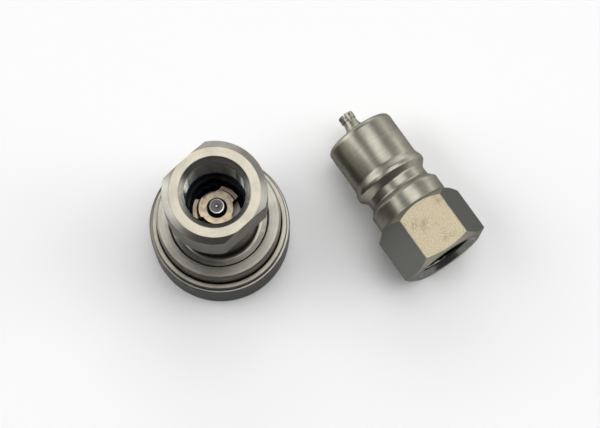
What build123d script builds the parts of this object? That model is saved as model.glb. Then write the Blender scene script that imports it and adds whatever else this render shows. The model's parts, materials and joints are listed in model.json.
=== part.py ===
"""Quick disconnect coupling, half-inch size: a ball-locking socket and its plug, each with a poppet valve.

Millimetres. The origin is on the socket's axis in the plane of its mouth, and +Z runs up that axis to the
socket's port. The plug lies beside it on a flat of its hexagon, its nose towards -X and slightly down.
Outlines are half sections: (radius, height) points about a turning axis.
"""

import math
import os

from build123d import *

os.makedirs("parts", exist_ok=True)

# ---- Driving dimensions -------------------------------------------------------------------------------

# Clearances and edges
nose_play = 0.10  # radial, plug nose to the bores it slides in
collar_play = 0.25  # radial, plug collar to the guide bore
mouth_play = 0.25  # radial, guide bore to the mouth
sleeve_play = 0.10  # radial, sleeve land to front body
ball_play = 0.06  # radial, ball to ball hole
ball_ramp_play = 0.04  # ball to the sleeve's ramp
seal_play = 0.05  # O-rings to the walls of their grooves
screw_play = 0.05  # radial, spigot to front body
edge = 0.4  # chamfer on turned edges

# Plug outline along its axis, from the nose face
nose_d = 23.5
nose_length = 15.8
nose_round = 1.9
collar_rise = 0.85  # above the nose
collar_ramp = 2.1
collar_land = 1.3
groove_depth = 1.9  # below the collar
groove_slope = 2.1
groove_width = 3.0
shank_drop = 0.1  # below the collar
shank_length = 5.2
hex_af = 27.0
hex_length = 18.9
hex_front_chamfer = 2.7
hex_rear_chamfer = 1.5
hex_corner_land = 0.1  # taken off the radius at the hexagon's corners
hex_face_d = 25.0

# Internal port thread, 1/2-14 parallel
thread_major_d = 20.96
thread_height = 1.16
thread_pitch = 1.814
thread_turns = 8
thread_crest = 0.30
thread_root = 0.25
port_mouth_step = 0.47  # port mouth outside the thread
port_relief = 1.5

# Valve, the same in both halves, along its axis from the valve datum
chamber_d = 17.0
throat_d = 11.4
throat_land = 1.2
disc_play = 0.25
cone_play = 0.15
valve_seal_section = 1.8
valve_seal_offset = 0.55  # seal ring's centre line outside the throat
valve_seal_play = 0.03
flange_cover = 0.15
poppet_flange = 1.2
pilot_d = 6.6
pilot_length = 0.8
stem_d = 4.9
stem_stand = 2.9
centre_mark_d = 1.2
tip_d = 5.2
tip_waist_d = 4.6
plug_tip_length = 7.4
plug_tip_knob = 2.3
socket_tip_length = 1.8
socket_tip_knob = 0.8
tip_bore_d = 2.6
tip_slot_width = 0.6
tip_slot_depth = 1.2
tip_slots = 4  # slots right across the tip
poppet_travel = 4.2
valve_spring_length = 8.1
valve_spring_play = 0.5  # radial, spring to its pilot
valve_wire_d = 0.8
valve_spring_turns = 4.0
guide_thickness = 0.9
guide_hole_d = 6.4
guide_plate_margin = 1.05  # plate outside the spring
guide_reach_play = 0.12  # radial, guide feet to chamber
guide_leg_run = 0.8  # how far each leg spreads on its way down
guide_leg_width = 6.0
guide_hub_d = 10.0
guide_foot_gap = 0.7
guide_lobe_angle = 113.0
guide_ring_thickness = 0.9
guide_ring_depth = 0.45
guide_ring_width = 1.3

# Socket, up from the mouth
mouth_length = 2.3
ring_lip = 1.06  # front body below its snap ring
ring_thickness = 1.0
ring_groove_depth = 1.0
ring_play = 0.05
ring_gap_angle = 14.0
ball_web = 0.7  # metal between snap ring groove and ball holes
ball_d = 4.76
ball_count = 8
ball_seat = 0.7  # how far inside its centre the ball meets the guide bore's wall
ball_lift = 1.7
sleeve_travel = 3.8
ball_stand = 0.03  # how far a ball at rest stands out of the front body
seal_section = 2.5
backup_thickness = 0.6
backup_width = 2.2
seal_groove_lead = 0.8
seal_groove_wall = 1.1
flange_floor = 1.0  # flange below the spigot's seat
flange_play = 0.3  # radial, flange to the sleeve
flange_edge = 0.6
spigot_wall = 2.55
spigot_length = 5.5
spigot_gap = 0.2
joint_seal_section = 1.4
joint_seal_z = 1.0
collar_ring_rise = 1.2  # above the spigot
collar_ring_thickness = 3.0
collar_ring_play = 0.15
collar_ring_recess = 1.5
seat_gap = 0.2  # mated plug nose to the stop face
valve_setback = 1.8  # mated nose face to the socket's valve datum
chamber_headroom = 3.6  # chamber above the stem's end
neck_wall = 3.9
neck_fillet = 2.0
head_d = 31.7
head_af = 27.0
head_flat_angle = 8.0  # from +X to the first flat
head_length = 16.9
head_face_d = 27.6
head_chamfer = 1.0

# Sleeve
sleeve_bottom = 0.6
sleeve_length = 20.0
sleeve_d = 45.0
sleeve_rim_step = 0.85
sleeve_rim_length = 3.2
sleeve_rim_wall = 1.7
sleeve_land_cover = 3.8  # land above the balls' centres
sleeve_edge = 0.5
recess_play = 0.1
sleeve_wire_d = 1.4
sleeve_spring_turns = 3.5
spring_end_play = 0.05

# Where the plug lies
plug_offset_y = 54.5
plug_nose_x = -0.5

# ---- Radii and heights that follow ----------------------------------------------------------------------

nose_r = nose_d / 2
collar_r = nose_r + collar_rise
groove_r = collar_r - groove_depth
shank_r = collar_r - shank_drop
chamber_r = chamber_d / 2
throat_r = throat_d / 2
thread_major_r = thread_major_d / 2
thread_minor_r = thread_major_r - thread_height
port_mouth_r = thread_major_r + port_mouth_step
stem_r = stem_d / 2
ball_r = ball_d / 2

# Port, down from its face
port_countersink = port_mouth_r - thread_minor_r
port_depth = port_countersink + thread_turns * thread_pitch + port_relief

# Valve heights above the datum
valve_seal_r = throat_r + valve_seal_offset
valve_seal_h = (
    throat_land + valve_seal_offset + (valve_seal_section / 2 + valve_seal_play) * math.sqrt(2)
)
seal_groove_half = valve_seal_section / 2 + seal_play
poppet_flange_r = valve_seal_r + valve_seal_section / 2 + flange_cover
flange_back = valve_seal_h + seal_groove_half + poppet_flange
guide_under = flange_back + valve_spring_length
guide_top = guide_under + guide_thickness
guide_foot = flange_back + poppet_travel + guide_foot_gap
guide_foot_top = guide_foot + guide_thickness
guide_ring_top = guide_foot_top + guide_ring_thickness
guide_ring_r = chamber_r + guide_ring_depth
stem_end = guide_top + stem_stand
chamber_end = stem_end + chamber_headroom
pilot_r = pilot_d / 2
valve_spring_r = pilot_r + valve_spring_play + valve_wire_d / 2  # at the wire's centre
guide_plate_r = valve_spring_r + valve_wire_d / 2 + guide_plate_margin

# Plug, from the nose face
collar_start = nose_length + collar_ramp
collar_end = collar_start + collar_land
groove_start = collar_end + groove_slope
groove_middle = groove_start + groove_width / 2
groove_end = groove_start + groove_width
shank_start = groove_end + groove_slope
hex_start = shank_start + shank_length
plug_length = hex_start + hex_length
hex_corner_r = hex_af / math.sqrt(3) - hex_corner_land

# Socket, up from the mouth
guide_r = collar_r + collar_play
mouth_r = guide_r + mouth_play
seal_bore_r = nose_r + nose_play
ball_hole_r = ball_r + ball_play
ring_top = ring_lip + ring_thickness
ball_z = ring_top + ball_web + ball_hole_r
ball_rest_r = guide_r + ball_seat
front_body_r = ball_rest_r + ball_r - ball_stand
ball_hole_lip_r = math.sqrt(ball_r**2 - ball_seat**2) + ball_play * 2 / 3
mated_nose_z = ball_z + groove_middle
guide_bore_top = mated_nose_z - nose_length + 0.6
seal_groove_z = guide_bore_top + (guide_r - seal_bore_r) + seal_groove_lead
seal_groove_width = seal_section + backup_thickness + 3 * seal_play
seal_groove_r = seal_bore_r - nose_play + seal_section + seal_play
spigot_seat = seal_groove_z + seal_groove_width + seal_groove_wall
flange_low = spigot_seat - flange_floor
nose_bore_r = nose_r + 2 * nose_play
spigot_r = nose_bore_r + spigot_wall
spigot_bore_r = spigot_r + screw_play
spigot_low = spigot_seat + spigot_gap
collar_seat = spigot_seat + spigot_length
collar_ring_r = spigot_r + collar_ring_rise
collar_bore_r = collar_ring_r + collar_ring_play
collar_top = collar_seat + collar_ring_thickness
flange_top = collar_top + collar_ring_recess
nose_stop = mated_nose_z + seat_gap
nose_bore_round = nose_round + 2 * nose_play
socket_valve_z = mated_nose_z + valve_setback
socket_chamber_top = socket_valve_z + chamber_end
socket_length = socket_chamber_top + port_depth
head_low = socket_length - head_length
head_r = head_d / 2
neck_r = chamber_r + neck_wall
ring_groove_r = front_body_r - ring_groove_depth

# Sleeve: a ramp that follows the balls as they lift
ramp_slope = ball_lift / sleeve_travel
ramp_norm = math.hypot(1, ramp_slope)
ramp_touch_r = ball_rest_r + (ball_r + ball_ramp_play) / ramp_norm
ramp_touch_z = ball_z + (ball_r + ball_ramp_play) * ramp_slope / ramp_norm
sleeve_land_r = front_body_r + sleeve_play
sleeve_recess_r = ball_rest_r + ball_r + ball_lift + recess_play
ramp_top = ramp_touch_z - (sleeve_land_r - ramp_touch_r) / ramp_slope
ramp_foot = ramp_touch_z - (sleeve_recess_r - ramp_touch_r) / ramp_slope
sleeve_land_top = ball_z + sleeve_land_cover
sleeve_top = sleeve_bottom + sleeve_length
sleeve_shoulder = sleeve_top - sleeve_rim_length
sleeve_r = sleeve_d / 2
sleeve_rim_r = sleeve_r - sleeve_rim_step
sleeve_bore_r = sleeve_rim_r - sleeve_rim_wall
sleeve_spring_r = (front_body_r + sleeve_bore_r) / 2  # at the wire's centre
flange_r = sleeve_bore_r - flange_play
snap_ring_r = ramp_touch_r + (ramp_touch_z - ring_top) * ramp_slope - ring_play

# The plug rests on the front edge of a hexagon flat and on its nose
flat_start = hex_start + hex_front_chamfer * (hex_af / 2 - shank_r) / (hex_corner_r - shank_r)
plug_pitch = math.atan2(hex_af / 2 - nose_r, flat_start - nose_round)
plug_nose_z = (
    (nose_r - nose_round) * math.cos(plug_pitch) + nose_round * (1 - math.sin(plug_pitch))
)

# ---- Planes -----------------------------------------------------------------------------------------------


def half_section(cross):
    """The plane with its x along the cross plane's x and its y along the cross plane's normal."""
    return Plane(cross.origin, x_dir=cross.x_dir, z_dir=cross.x_dir.cross(cross.z_dir))


def turning_axis(cross):
    """The line through a cross plane's origin along its normal."""
    return Axis(cross.origin, cross.z_dir)


socket_cross = Plane.XY
socket_valve = Plane.XY.offset(socket_valve_z)
plug_cross = Plane(
    origin=(plug_nose_x, plug_offset_y, plug_nose_z),
    x_dir=(-math.sin(plug_pitch), 0, math.cos(plug_pitch)),
    z_dir=(math.cos(plug_pitch), 0, math.sin(plug_pitch)),
)

# ---- Outlines that both halves share ------------------------------------------------------------------------


def port_outline(bottom, relief_r):
    """The threaded port's wall, from its bottom up to its face, as V grooves one pitch apart."""
    flank = (thread_pitch - thread_crest - thread_root) / 2
    start = bottom + port_relief
    points = [(relief_r, bottom + (relief_r - chamber_r) / 2), (relief_r, start)]
    for turn in range(thread_turns):
        low = start + turn * thread_pitch
        points += [
            (thread_minor_r, low),
            (thread_minor_r, low + thread_crest),
            (thread_major_r, low + thread_crest + flank),
            (thread_major_r, low + thread_crest + flank + thread_root),
        ]
    face = start + thread_turns * thread_pitch
    points += [(thread_minor_r, face), (port_mouth_r, face + port_countersink)]
    return points


def chamber_outline(datum, end):
    """The valve's seat, chamber and guide ring groove, from the throat up to the port."""
    cone_top = datum + throat_land + chamber_r - throat_r
    return [
        (throat_r, datum + throat_land),
        (chamber_r, cone_top),
        (chamber_r, datum + guide_foot_top),
        (guide_ring_r, datum + guide_foot_top),
        (guide_ring_r, datum + guide_ring_top + seal_play),
        (chamber_r, datum + guide_ring_top + seal_play),
        (chamber_r, end),
    ]


# ---- Valve pieces, built for either half --------------------------------------------------------------------


def build_poppet(cross, tip_length, knob_length):
    """A poppet: tip, flare, seat cone, seal groove, flange and stem with a centre mark in its end."""
    tip_r = tip_d / 2
    waist_r = tip_waist_d / 2
    disc_r = throat_r - disc_play
    cone_start = throat_land + cone_play * math.sqrt(2) - disc_play
    groove_low = valve_seal_h - seal_groove_half
    groove_high = valve_seal_h + seal_groove_half
    floor_r = valve_seal_r - seal_groove_half
    flare_start = knob_length - tip_length
    with BuildPart() as poppet:
        with BuildSketch(half_section(cross)):
            with BuildLine():
                Polyline(
                    (disc_r, 0),
                    (disc_r, cone_start),
                    (disc_r + groove_low - cone_start, groove_low),
                    (floor_r, groove_low),
                    (floor_r, groove_high),
                    (poppet_flange_r, groove_high),
                    (poppet_flange_r, flange_back),
                    (pilot_r, flange_back),
                    (pilot_r, flange_back + pilot_length),
                    (stem_r, flange_back + pilot_length),
                    (stem_r, stem_end - edge / 2),
                    (stem_r - edge / 2, stem_end),
                    (centre_mark_d / 2, stem_end),
                    (0, stem_end - centre_mark_d / 2),
                    (0, -tip_length),
                    (tip_r - edge / 2, -tip_length),
                    (tip_r, -tip_length + edge / 2),
                    (tip_r, flare_start),
                    (waist_r, flare_start),
                )
                EllipticalCenterArc(
                    (disc_r, flare_start), disc_r - waist_r, -flare_start, start_angle=90, arc_size=90
                )
            make_face()
        revolve(axis=turning_axis(cross))
    return poppet


def build_poppet_seal(cross):
    """The seal ring in the poppet's groove."""
    with BuildPart() as seal:
        with BuildSketch(half_section(cross)):
            with Locations((valve_seal_r, valve_seal_h)):
                Circle(valve_seal_section / 2)
        revolve(axis=turning_axis(cross))
    return seal


def build_spring(cross, low, high, mean_r, wire_r, turns):
    """A compression spring with ground ends, between two heights above a cross plane."""
    lead = wire_r / 2
    height = high - low - 2 * lead
    start = cross.offset(low + lead)
    with BuildPart() as spring:
        with BuildLine():
            coil = Helix(height / turns, height, mean_r, center=start.origin, direction=start.z_dir)
        with BuildSketch(Plane(origin=coil @ 0, z_dir=coil % 0)):
            Circle(wire_r)
        sweep(path=coil, is_frenet=True)
        with BuildSketch(cross.offset(low)):
            Circle(mean_r + 2 * wire_r)
        extrude(amount=high - low, mode=Mode.INTERSECT)
    return spring


def build_valve_guide(cross):
    """The stamped guide: a holed plate on three legs that spread to feet on the chamber's wall."""
    foot_r = chamber_r - guide_reach_play
    bend = guide_thickness * 0.6
    with BuildPart() as guide:
        with BuildSketch(half_section(cross)):
            with BuildLine():
                Polyline(
                    (guide_hole_d / 2, guide_top),
                    (guide_plate_r, guide_top),
                    (guide_plate_r + guide_leg_run, guide_foot_top),
                    (foot_r, guide_foot_top),
                    (foot_r, guide_foot),
                    (guide_plate_r + guide_leg_run - bend, guide_foot),
                    (guide_plate_r - bend, guide_under),
                    (guide_hole_d / 2, guide_under),
                    close=True,
                )
            make_face()
        revolve(axis=turning_axis(cross))
        with BuildSketch(cross.offset(guide_foot)):
            Circle(guide_hub_d / 2)
            with PolarLocations(chamber_r / 2, 3, start_angle=guide_lobe_angle):
                Rectangle(chamber_r, guide_leg_width)
        extrude(amount=guide_top - guide_foot, mode=Mode.INTERSECT)
    return guide


def build_split_ring(cross, inner_r, outer_r, low, high):
    """A flat snap ring with a gap in it."""
    with BuildPart() as ring:
        with BuildSketch(half_section(cross)):
            with BuildLine():
                Polyline((inner_r, low), (outer_r, low), (outer_r, high), (inner_r, high), close=True)
            make_face()
        revolve(axis=turning_axis(cross), revolution_arc=360 - ring_gap_angle)
    return ring


def export_piece(piece, name):
    """Label a finished piece and write its STEP file."""
    piece.part.label = name
    export_step(piece.part, f"parts/{name}.step")


# ---- Socket -------------------------------------------------------------------------------------------------

with BuildPart() as socket_front_body:
    with BuildSketch(half_section(socket_cross)):
        with BuildLine():
            Polyline(
                (mouth_r + edge, 0),
                (mouth_r, edge),
                (mouth_r, mouth_length),
                (guide_r, mouth_length + mouth_play),
                (guide_r, guide_bore_top),
                (seal_bore_r, guide_bore_top + guide_r - seal_bore_r),
                (seal_bore_r, seal_groove_z),
                (seal_groove_r, seal_groove_z),
                (seal_groove_r, seal_groove_z + seal_groove_width),
                (seal_bore_r, seal_groove_z + seal_groove_width),
                (seal_bore_r, spigot_seat),
                (spigot_bore_r, spigot_seat),
                (spigot_bore_r, collar_seat),
                (collar_bore_r, collar_seat),
                (collar_bore_r, flange_top - edge / 2),
                (collar_bore_r + edge / 2, flange_top),
                (flange_r - flange_edge, flange_top),
                (flange_r, flange_top - flange_edge),
                (flange_r, flange_low + edge),
                (flange_r - edge, flange_low),
                (front_body_r, flange_low),
                (front_body_r, ring_top),
                (ring_groove_r, ring_top),
                (ring_groove_r, ring_lip),
                (front_body_r, ring_lip),
                (front_body_r, edge),
                (front_body_r - edge, 0),
                close=True,
            )
        make_face()
    revolve(axis=Axis.Z)
    # Ball holes: straight outside the ball's centre, and narrowing inside it so the ball can't fall in
    hole_in = ball_rest_r - ball_seat * 2
    hole_in_r = ball_hole_r - 2 * (ball_hole_r - ball_hole_lip_r)
    for index in range(ball_count):
        turn = math.radians(360 / ball_count * index)
        outward = Vector(math.cos(turn), math.sin(turn), 0)
        hole_cross = Plane(origin=(0, 0, ball_z), x_dir=(0, 0, 1), z_dir=outward)
        with BuildSketch(half_section(hole_cross)):
            with BuildLine():
                Polyline(
                    (0, hole_in),
                    (hole_in_r, hole_in),
                    (ball_hole_r, ball_rest_r),
                    (ball_hole_r, front_body_r + edge),
                    (0, front_body_r + edge),
                    close=True,
                )
            make_face()
        revolve(axis=turning_axis(hole_cross), mode=Mode.SUBTRACT)

with BuildPart() as socket_rear_body:
    with BuildSketch(half_section(socket_cross)):
        with BuildLine():
            joint_low = spigot_low + joint_seal_z
            joint_high = joint_low + joint_seal_section + 2 * seal_play
            joint_floor_r = spigot_r - joint_seal_section
            round_r = nose_bore_r - nose_bore_round
            CenterArc((round_r, nose_stop - nose_bore_round), nose_bore_round, 0, 90)
            Polyline(
                (round_r, nose_stop),
                (throat_r, nose_stop),
                *chamber_outline(socket_valve_z, socket_chamber_top),
                *port_outline(socket_chamber_top, thread_major_r),
                (head_face_d / 2, socket_length),
                (head_r, socket_length - head_chamfer),
                (head_r, head_low + edge),
                (head_r - edge, head_low),
                (neck_r, head_low),
                (neck_r, collar_top + neck_fillet),
            )
            CenterArc((neck_r + neck_fillet, collar_top + neck_fillet), neck_fillet, 180, 90)
            Polyline(
                (neck_r + neck_fillet, collar_top),
                (collar_ring_r - edge, collar_top),
                (collar_ring_r, collar_top - edge),
                (collar_ring_r, collar_seat),
                (spigot_r, collar_seat),
                (spigot_r, joint_high),
                (joint_floor_r, joint_high),
                (joint_floor_r, joint_low),
                (spigot_r, joint_low),
                (spigot_r, spigot_low + edge),
                (spigot_r - edge, spigot_low),
                (nose_bore_r + edge, spigot_low),
                (nose_bore_r, spigot_low + edge),
                (nose_bore_r, nose_stop - nose_bore_round),
            )
        make_face()
    revolve(axis=Axis.Z)
    # Two wrench flats over the whole head
    with BuildSketch(Plane.XY.offset(head_low)):
        Circle(head_r + edge)
        Rectangle(head_af, 2 * head_d, rotation=head_flat_angle, mode=Mode.SUBTRACT)
    extrude(amount=head_length, mode=Mode.SUBTRACT)

with BuildPart() as body_joint_o_ring:
    with BuildSketch(half_section(socket_cross)):
        with Locations((joint_floor_r + joint_seal_section / 2, (joint_low + joint_high) / 2)):
            Circle(joint_seal_section / 2)
    revolve(axis=Axis.Z)

with BuildPart() as interface_o_ring:
    with BuildSketch(half_section(socket_cross)):
        seal_z = seal_groove_z + seal_play + seal_section / 2
        with Locations((seal_groove_r - seal_play - seal_section / 2, seal_z)):
            Circle(seal_section / 2)
    revolve(axis=Axis.Z)

with BuildPart() as backup_ring:
    with BuildSketch(half_section(socket_cross)):
        with BuildLine():
            backup_low = seal_groove_z + 2 * seal_play + seal_section
            backup_out = seal_groove_r - seal_play
            Polyline(
                (backup_out - backup_width, backup_low),
                (backup_out, backup_low),
                (backup_out, backup_low + backup_thickness),
                (backup_out - backup_width, backup_low + backup_thickness),
                close=True,
            )
        make_face()
    revolve(axis=Axis.Z)

with BuildPart() as sleeve:
    with BuildSketch(half_section(socket_cross)):
        with BuildLine():
            Polyline(
                (sleeve_recess_r, sleeve_bottom),
                (sleeve_recess_r, ramp_foot),
                (sleeve_land_r, ramp_top),
                (sleeve_land_r, sleeve_land_top),
                (sleeve_bore_r, sleeve_land_top),
                (sleeve_bore_r, sleeve_top - edge / 2),
                (sleeve_bore_r + edge / 2, sleeve_top),
                (sleeve_rim_r - edge, sleeve_top),
                (sleeve_rim_r, sleeve_top - edge),
                (sleeve_rim_r, sleeve_shoulder),
                (sleeve_r - sleeve_edge, sleeve_shoulder),
                (sleeve_r, sleeve_shoulder - sleeve_edge),
                (sleeve_r, sleeve_bottom + sleeve_edge),
                (sleeve_r - sleeve_edge, sleeve_bottom),
                close=True,
            )
        make_face()
    revolve(axis=Axis.Z)

sleeve_spring = build_spring(
    socket_cross,
    sleeve_land_top + spring_end_play,
    flange_low - spring_end_play,
    sleeve_spring_r,
    sleeve_wire_d / 2,
    sleeve_spring_turns,
)
sleeve_retaining_ring = build_split_ring(
    socket_cross, ring_groove_r + ring_play, snap_ring_r, ring_lip, ring_top
)

export_piece(socket_front_body, "socket_front_body")
export_piece(socket_rear_body, "socket_rear_body")
export_piece(body_joint_o_ring, "body_joint_o_ring")
export_piece(interface_o_ring, "interface_o_ring")
export_piece(backup_ring, "backup_ring")
export_piece(sleeve, "sleeve")
export_piece(sleeve_spring, "sleeve_spring")
export_piece(sleeve_retaining_ring, "sleeve_retaining_ring")

for index in range(ball_count):
    turn = math.radians(360 / ball_count * index)
    with BuildPart() as locking_ball:
        with Locations((ball_rest_r * math.cos(turn), ball_rest_r * math.sin(turn), ball_z)):
            Sphere(ball_r)
    export_piece(locking_ball, f"locking_ball_{index + 1}")

# ---- Plug ---------------------------------------------------------------------------------------------------

with BuildPart() as plug_body:
    with BuildSketch(half_section(plug_cross)):
        with BuildLine():
            CenterArc((nose_r - nose_round, nose_round), nose_round, -90, 90)
            Polyline(
                (nose_r, nose_round),
                (nose_r, nose_length),
                (collar_r, collar_start),
                (collar_r, collar_end),
                (groove_r, groove_start),
                (groove_r, groove_end),
                (shank_r, shank_start),
                (shank_r, hex_start),
                (hex_corner_r, hex_start + hex_front_chamfer),
                (hex_corner_r, plug_length - hex_rear_chamfer),
                (hex_face_d / 2, plug_length),
                *reversed(port_outline(plug_length - port_depth, thread_major_r)),
                *reversed(chamber_outline(0, plug_length - port_depth)),
                (throat_r, 0),
                (nose_r - nose_round, 0),
            )
        make_face()
    revolve(axis=turning_axis(plug_cross))
    # The hexagon lies on a flat: its flats face along the cross plane's x
    with BuildSketch(plug_cross.offset(hex_start)):
        Circle(hex_corner_r + edge)
        RegularPolygon(hex_af / 2, 6, major_radius=False, rotation=30, mode=Mode.SUBTRACT)
    extrude(amount=hex_length, mode=Mode.SUBTRACT)

export_piece(plug_body, "plug_body")

# ---- Valves -------------------------------------------------------------------------------------------------

plug_poppet = build_poppet(plug_cross, plug_tip_length, plug_tip_knob)
socket_poppet = build_poppet(socket_valve, socket_tip_length, socket_tip_knob)

with BuildPart() as crowned_poppet:
    add(plug_poppet.part)
    # Crown on the plug's tip: a shallow bore, slotted right across
    tip_face = plug_cross.offset(-plug_tip_length)
    with BuildSketch(tip_face):
        Circle(tip_bore_d / 2)
        with PolarLocations(0, tip_slots, start_angle=90 / tip_slots, angular_range=180):
            Rectangle(tip_d + edge, tip_slot_width)
    extrude(amount=tip_slot_depth, mode=Mode.SUBTRACT)

export_piece(crowned_poppet, "plug_poppet")
export_piece(socket_poppet, "socket_poppet")

for half, cross in (("socket", socket_valve), ("plug", plug_cross)):
    export_piece(build_poppet_seal(cross), f"{half}_poppet_seal")
    valve_spring = build_spring(
        cross,
        flange_back + spring_end_play,
        guide_under - spring_end_play,
        valve_spring_r,
        valve_wire_d / 2,
        valve_spring_turns,
    )
    export_piece(valve_spring, f"{half}_poppet_spring")
    export_piece(build_valve_guide(cross), f"{half}_valve_guide")
    guide_ring = build_split_ring(
        cross,
        guide_ring_r - seal_play - guide_ring_width,
        guide_ring_r - seal_play,
        guide_foot_top,
        guide_ring_top,
    )
    export_piece(guide_ring, f"{half}_guide_ring")
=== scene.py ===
"""Looks for the quick disconnect coupling: a ball-locking socket standing on its mouth, the plug beside it.

The socket's rear body, sleeve and poppet, the plug's body and the springs are worked out again as fine
surfaces, with helical port threads; the other pieces keep their CAD meshes and get their finishes here. Sizes
are in millimetres about each half's own axis, and are scaled to metres as a mesh is made.
"""

import json
import logging
import math
from collections.abc import Callable
from dataclasses import dataclass, field, replace
from enum import Enum

import bmesh
import bpy
import numpy as np
from mathutils import Matrix, Vector


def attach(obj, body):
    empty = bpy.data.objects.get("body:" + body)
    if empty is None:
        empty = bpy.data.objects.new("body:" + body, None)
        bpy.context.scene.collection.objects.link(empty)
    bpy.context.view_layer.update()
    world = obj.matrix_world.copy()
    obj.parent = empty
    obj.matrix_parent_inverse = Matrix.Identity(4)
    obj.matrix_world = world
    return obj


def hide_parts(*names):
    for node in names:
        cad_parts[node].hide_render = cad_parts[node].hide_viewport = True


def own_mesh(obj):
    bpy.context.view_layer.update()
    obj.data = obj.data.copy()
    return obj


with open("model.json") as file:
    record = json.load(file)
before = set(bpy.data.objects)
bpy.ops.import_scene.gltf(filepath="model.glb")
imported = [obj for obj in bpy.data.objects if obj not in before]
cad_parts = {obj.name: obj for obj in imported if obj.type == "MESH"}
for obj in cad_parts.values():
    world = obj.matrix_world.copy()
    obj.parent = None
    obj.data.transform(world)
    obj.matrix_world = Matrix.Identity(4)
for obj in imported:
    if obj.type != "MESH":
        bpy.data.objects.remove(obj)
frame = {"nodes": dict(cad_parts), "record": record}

MM = 0.001
HEAD_FLAT_ANGLE = 8.0  # degrees from +X to the first wrench flat on the socket's head
SHARP_ANGLE = 29.0  # degrees between faces whose edge stays sharp
SAME = 1e-6  # millimetres within which two sizes are the same
MERGE = 2e-7  # metres within which two points of a mesh are one
BALLS = 8  # locking balls round the socket
log = logging.getLogger("coupling")
Colour = tuple[float, float, float]
Material = bpy.types.Material


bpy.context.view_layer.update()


# ---- Shader maths ----


def operator(operation: str, swapped: bool = False) -> Callable[["Signal", object], "Signal"]:
    """A Signal's operator as one Math node, with its sides swapped for the reflected form."""

    def apply(self: "Signal", other: object) -> "Signal":
        """The node's result."""
        first, second = (other, self) if swapped else (self, other)
        return self.recipe.node("Math", {"operation": operation}, {0: first, 1: second})

    return apply


class Signal:
    """One output of a node tree, used in sums as a number is."""

    __add__, __radd__ = operator("ADD"), operator("ADD", swapped=True)
    __sub__, __rsub__ = operator("SUBTRACT"), operator("SUBTRACT", swapped=True)
    __mul__, __rmul__ = operator("MULTIPLY"), operator("MULTIPLY", swapped=True)

    def __init__(self, recipe: "Recipe", socket: bpy.types.NodeSocket) -> None:
        """Keep the recipe that owns the output."""
        self.recipe = recipe
        self.socket = socket

    def ramp(self, low: float, high: float) -> "Signal":
        """A smooth step from 0 at low to 1 at high."""
        values = {0: self, 1: low, 2: high, 3: 0.0, 4: 1.0}
        return self.recipe.node("MapRange", {"interpolation_type": "SMOOTHSTEP"}, values)


class Recipe:
    """A material's or a world's node tree as it is written down."""

    def __init__(self, owner: str | bpy.types.ID) -> None:
        """Start an empty tree on a world, or on a new material of that name."""
        if isinstance(owner, str):
            owner = bpy.data.materials.new(owner)
        owner.use_nodes = True
        self.owner, self.tree = owner, owner.node_tree
        self.tree.nodes.clear()

    def node(self, kind: str, settings: dict, values: dict, output: object = None) -> Signal:
        """Add one node.

        Args:
            kind: the node's type, without ShaderNode in front.
            settings: its own settings.
            values: socket names or numbers, with a signal or a constant for each.
            output: the name or number of the output wanted, or None for the first that is in use.

        Returns:
            The wanted output.
        """
        made = self.tree.nodes.new(f"ShaderNode{kind}")
        for name, setting in settings.items():
            setattr(made, name, setting)
        for name, value in values.items():
            if isinstance(value, Signal):
                self.tree.links.new(value.socket, made.inputs[name])
            else:
                made.inputs[name].default_value = value
        if output is None:
            output = next(i for i, out in enumerate(made.outputs) if out.enabled)
        return Signal(self, made.outputs[output])

    def vector(self, operation: str, first: object, second: object = None, output: object = None) -> Signal:
        """One Vector Math node on signals or constant triples."""
        values = {0: first}
        if second is not None:
            values["Scale" if operation == "SCALE" else 1] = second
        return self.node("VectorMath", {"operation": operation}, values, output)

    def blend(self, factor: object, low: object, high: object) -> Signal:
        """A colour that goes from low to high with the factor; colours are triples or signals."""
        ends = [c if isinstance(c, Signal) else (*c, 1.0) for c in (low, high)]
        return self.node("Mix", {"data_type": "RGBA"}, {0: factor, 6: ends[0], 7: ends[1]}, 2)

    def noise(self, where: Signal, scale: float, detail: float = 2.0, roughness: float = 0.5) -> Signal:
        """Fractal noise, about 0 to 1 and centred on 0.5."""
        values = {"Vector": where, "Scale": scale, "Detail": detail, "Roughness": roughness}
        return self.node("TexNoise", {}, values, 0)

    def finish(self, shader: dict, bump: Signal | None = None, depth: float = 0.0) -> Material:
        """Close the recipe with the main shader.

        Args:
            shader: values and signals for the Principled shader's sockets.
            bump: a height signal, or None.
            depth: the bump's depth in millimetres.

        Returns:
            The finished material.
        """
        values = dict(shader)
        if bump is not None:
            relief = {"Strength": 1.0, "Distance": depth * MM, "Height": bump}
            values["Normal"] = self.node("Bump", {}, relief)
        closure = self.node("BsdfPrincipled", {}, values)
        self.close(closure, "OutputMaterial")
        return self.owner

    def close(self, closure: Signal, kind: str) -> None:
        """Join a shader to the tree's output node."""
        out = self.tree.nodes.new(f"ShaderNode{kind}")
        self.tree.links.new(closure.socket, out.inputs["Surface"])


# ---- Turning axes and outlines ----


@dataclass(frozen=True)
class Turning:
    """A half's turning axis: its origin in metres, its direction, and the direction of angle 0."""

    origin: Vector
    axis: Vector
    zero: Vector

    def matrix(self) -> Matrix:
        """The turn and shift from the half's own frame to the CAD frame."""
        side = self.axis.cross(self.zero)
        turn = Matrix((self.zero, side, self.axis)).transposed().to_4x4()
        return Matrix.Translation(self.origin) @ turn

    def place(self, points: np.ndarray) -> np.ndarray:
        """Points in millimetres about the axis, as points in metres in the CAD frame."""
        m = np.array(self.matrix())
        return points * MM @ m[:3, :3].T + m[:3, 3]


class Band(Enum):
    """Which material a stretch of an outline takes; several are lighter or darker copies of one steel that
    paint light and shade: end faces lighter, recesses near-black, the stem's end dark with a light rim and
    centre mark.
    """

    FACE = "face"
    WALL = "wall"
    BORE = "bore"
    DEEP = "deep"
    FLAT = "flat"
    STEM = "stem"
    MARK = "mark"


Corner = tuple[float, float, float, Band]
Dress = dict[Band, Material]


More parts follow.
